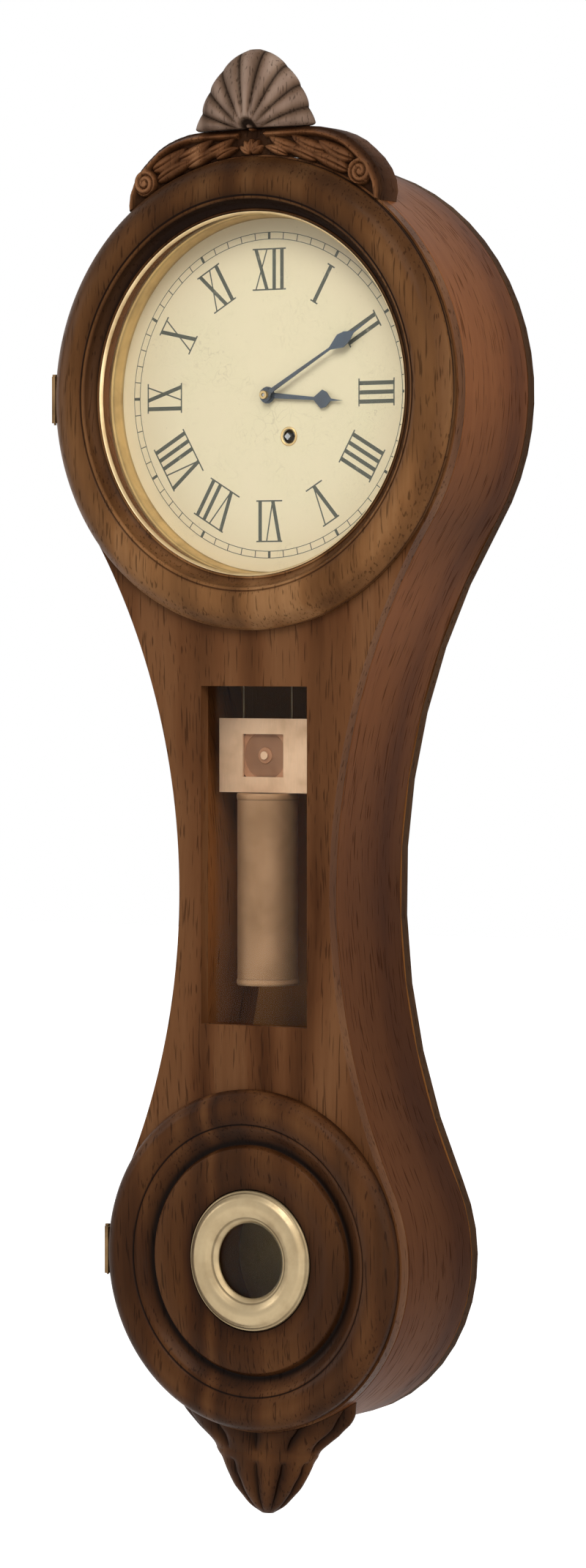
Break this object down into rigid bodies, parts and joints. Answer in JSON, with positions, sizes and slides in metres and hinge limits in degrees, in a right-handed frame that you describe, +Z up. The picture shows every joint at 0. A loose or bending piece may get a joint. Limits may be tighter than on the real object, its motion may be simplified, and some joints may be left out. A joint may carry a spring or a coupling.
{
  "type": "figure eight wall clock",
  "caption": "Weight-driven wall clock in a walnut figure-eight case with a carved crest and finial, a round door over the dial and another over the pendulum bob, and a window in the waist.",
  "frame": {"origin": "on the rear face of the back board, level with the centre of the dial, on the clock's centre line", "axes": "+X to the right of someone who faces the dial, +Y into the wall, +Z up"},
  "size_m": [0.3671, 0.1295, 1.1173],
  "materials": {
    "walnut": "shellacked black walnut, semi-gloss, with fine straight grain",
    "dark_walnut": "dark shellacked walnut, semi-gloss",
    "brass": "lacquered brass, slightly dulled",
    "steel": "fine-turned steel",
    "blued_steel": "blued steel, nearly black",
    "bronze": "dark bronze, turned",
    "dial_paint": "aged cream paint on zinc, satin, with plain black numerals",
    "glass": "clear flat glass",
    "gut": "twisted gut line"
  },
  "bodies": {
    "clock_case": {"back_board": "walnut", "case_rim": "walnut", "front_panel": "walnut", "throat_glass": "glass", "throat_bead": "walnut", "crest": "walnut", "crest_knob": "dark_walnut", "foot_drop": "dark_walnut", "hanger_plate": "steel", "hanger_screw_left": "steel", "hanger_screw_right": "steel", "upper_hinge_case_leaf": "brass", "upper_hinge_pin": "brass", "lower_hinge_case_leaf": "brass", "lower_hinge_pin": "brass", "upper_catch_keeper": "brass", "lower_catch_keeper": "brass", "dial": "dial_paint", "dial_rim": "brass", "movement_front_plate": "brass", "movement_back_plate": "brass", "movement_bracket_left": "steel", "movement_bracket_right": "steel", "suspension_cock": "brass", "weight_line": "gut"},
    "upper_door": {"upper_bezel": "walnut", "upper_glass": "glass", "upper_sight_ring": "brass", "upper_hinge_door_leaf": "brass", "upper_catch_tongue": "brass"},
    "lower_door": {"lower_bezel": "dark_walnut", "lower_glass": "glass", "lower_sight_ring": "brass", "lower_hinge_door_leaf": "brass", "lower_catch_tongue": "brass"},
    "centre_group": {"centre_arbor": "steel", "centre_wheel": "brass", "cannon_pinion": "steel", "minute_hand": "blued_steel", "hand_nut": "brass"},
    "great_group": {"great_wheel": "brass", "click_spring": "steel"},
    "click_lever": {"click": "steel"},
    "third_group": {"third_arbor": "steel", "third_wheel": "brass"},
    "escape_group": {"escape_wheel": "steel"},
    "minute_wheel_group": {"minute_wheel": "brass"},
    "hour_group": {"hour_wheel": "brass", "hour_hand": "blued_steel"},
    "pendulum": {"suspension_spring": "steel", "pendulum_rod": "steel"},
    "crutch_group": {"anchor": "steel", "crutch": "steel"},
    "bob": {"pendulum_bob": "brass"},
    "bob_nut": {"rating_nut": "brass"},
    "driving_weight": {"weight": "brass", "weight_yoke": "brass"},
    "drum_group": {"winding_arbor": "steel", "line_drum": "brass"},
    "weight_pulley": {"pulley": "bronze"}
  },
  "joints": [
    {"name": "upper_door_hinge", "type": "hinge", "parent": "clock_case", "child": "upper_door", "pos_m": [-0.1838, -0.11315, 0], "axis": [0, 0, -1], "range_deg": [0, 110]},
    {"name": "lower_door_hinge", "type": "hinge", "parent": "clock_case", "child": "lower_door", "pos_m": [-0.1348, -0.11315, -0.66], "axis": [0, 0, -1], "range_deg": [0, 110]},
    {"name": "minute_hand_turn", "type": "hinge", "parent": "clock_case", "child": "centre_group", "pos_m": [0, -0.0805, 0], "axis": [0, 1, 0], "continuous": true},
    {"name": "great_wheel_turn", "type": "hinge", "parent": "clock_case", "child": "great_group", "pos_m": [0.0178, -0.0805, -0.03175], "axis": [0, 1, 0], "continuous": true},
    {"name": "third_wheel_turn", "type": "hinge", "parent": "clock_case", "child": "third_group", "pos_m": [-0.016, -0.0805, 0.021], "axis": [0, 1, 0], "continuous": true},
    {"name": "escape_wheel_turn", "type": "hinge", "parent": "clock_case", "child": "escape_group", "pos_m": [0, -0.0805, 0.03161], "axis": [0, 1, 0], "continuous": true},
    {"name": "minute_wheel_turn", "type": "hinge", "parent": "clock_case", "child": "minute_wheel_group", "pos_m": [-0.00849, -0.0805, -0.00849], "axis": [0, 1, 0], "continuous": true},
    {"name": "hour_hand_turn", "type": "hinge", "parent": "clock_case", "child": "hour_group", "pos_m": [0, -0.0805, 0], "axis": [0, 1, 0], "continuous": true},
    {"name": "click_pivot", "type": "hinge", "parent": "great_group", "child": "click_lever", "pos_m": [0.0263, -0.0568, -0.04647], "axis": [0, -1, 0], "range_deg": [0, 6], "stiffness_Nm_per_rad": 0.002},
    {"name": "pendulum_swing", "type": "hinge", "parent": "clock_case", "child": "pendulum", "pos_m": [0, -0.03, 0.05495], "axis": [0, 1, 0], "range_deg": [-2.5, 2.5]},
    {"name": "crutch_swing", "type": "hinge", "parent": "clock_case", "child": "crutch_group", "pos_m": [0, -0.0805, 0.05495], "axis": [0, 1, 0], "range_deg": [-2.6, 2.6]},
    {"name": "rating_nut_turn", "type": "hinge", "parent": "bob", "child": "bob_nut", "pos_m": [0, -0.03, -0.7316], "axis": [0, 0, 1], "range_deg": [-1875, 1875]},
    {"name": "bob_slide", "type": "slide", "parent": "pendulum", "child": "bob", "axis": [0, 0, 1], "range_m": [-0.004, 0.004]},
    {"name": "weight_fall", "type": "slide", "parent": "clock_case", "child": "driving_weight", "axis": [0, 0, -1], "range_m": [-0.088, 0.304], "deforming": ["weight_line"]},
    {"name": "drum_turn", "type": "hinge", "parent": "clock_case", "child": "drum_group", "pos_m": [0.0178, -0.0805, -0.03175], "axis": [0, 1, 0], "range_deg": [-4470, 1296]},
    {"name": "pulley_spin", "type": "hinge", "parent": "driving_weight", "child": "weight_pulley", "pos_m": [-0.012, -0.074, -0.2755], "axis": [0, 1, 0], "range_deg": [-230, 793]}
  ],
  "couplings": [
    {"joint": "great_wheel_turn", "follows": "minute_hand_turn", "ratio": -0.083333},
    {"joint": "third_wheel_turn", "follows": "minute_hand_turn", "ratio": -10},
    {"joint": "escape_wheel_turn", "follows": "minute_hand_turn", "ratio": 70},
    {"joint": "minute_wheel_turn", "follows": "minute_hand_turn", "ratio": -0.33333},
    {"joint": "hour_hand_turn", "follows": "minute_hand_turn", "ratio": 0.083333},
    {"joint": "crutch_swing", "follows": "pendulum_swing", "ratio": 1},
    {"joint": "rating_nut_turn", "follows": "bob_slide", "rad_per_m": 7854},
    {"joint": "drum_turn", "follows": "weight_fall", "rad_per_m": -256.41},
    {"joint": "pulley_spin", "follows": "weight_fall", "rad_per_m": 45.455}
  ]
}
